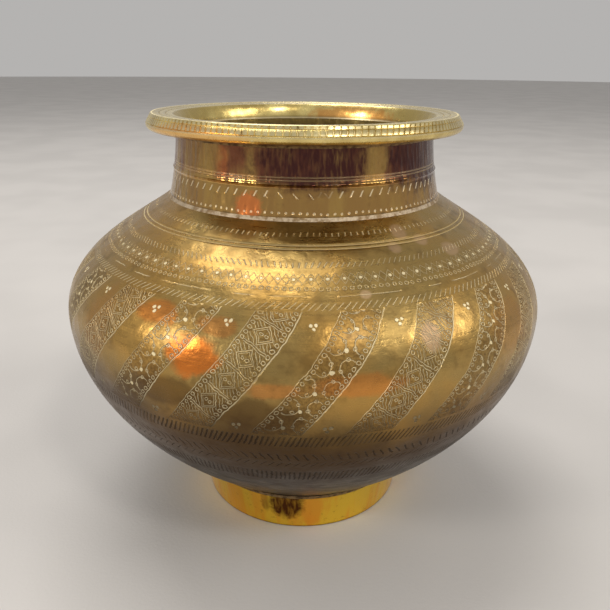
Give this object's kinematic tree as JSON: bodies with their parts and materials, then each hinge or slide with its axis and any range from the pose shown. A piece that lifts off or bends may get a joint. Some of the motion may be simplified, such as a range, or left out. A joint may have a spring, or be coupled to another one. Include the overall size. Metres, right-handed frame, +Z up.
{
  "type": "brass vase",
  "caption": "Round-bellied brass pot vase with a straight neck, a flared rim with a milled edge, and a low foot ring; holds water or flowers.",
  "frame": {"origin": "centre of the circle that the foot ring stands on", "axes": "+Z up along the pot's axis, -Y towards the viewer of the picture, +X to the viewer's right"},
  "size_m": [0.16, 0.16, 0.1375],
  "materials": {
    "body_brass": "aged, engraved",
    "neck_brass": "hammered, polished",
    "rim_brass": "turned, milled edge",
    "foot_brass": "polished",
    "filler_metal": "pale solder"
  },
  "bodies": {
    "root": {"body_shell": "body_brass", "neck_collar": "neck_brass", "mouth_rim": "rim_brass", "foot_ring": "foot_brass", "neck_solder": "filler_metal", "rim_braze": "filler_metal", "foot_solder": "filler_metal"}
  },
  "joints": []
}
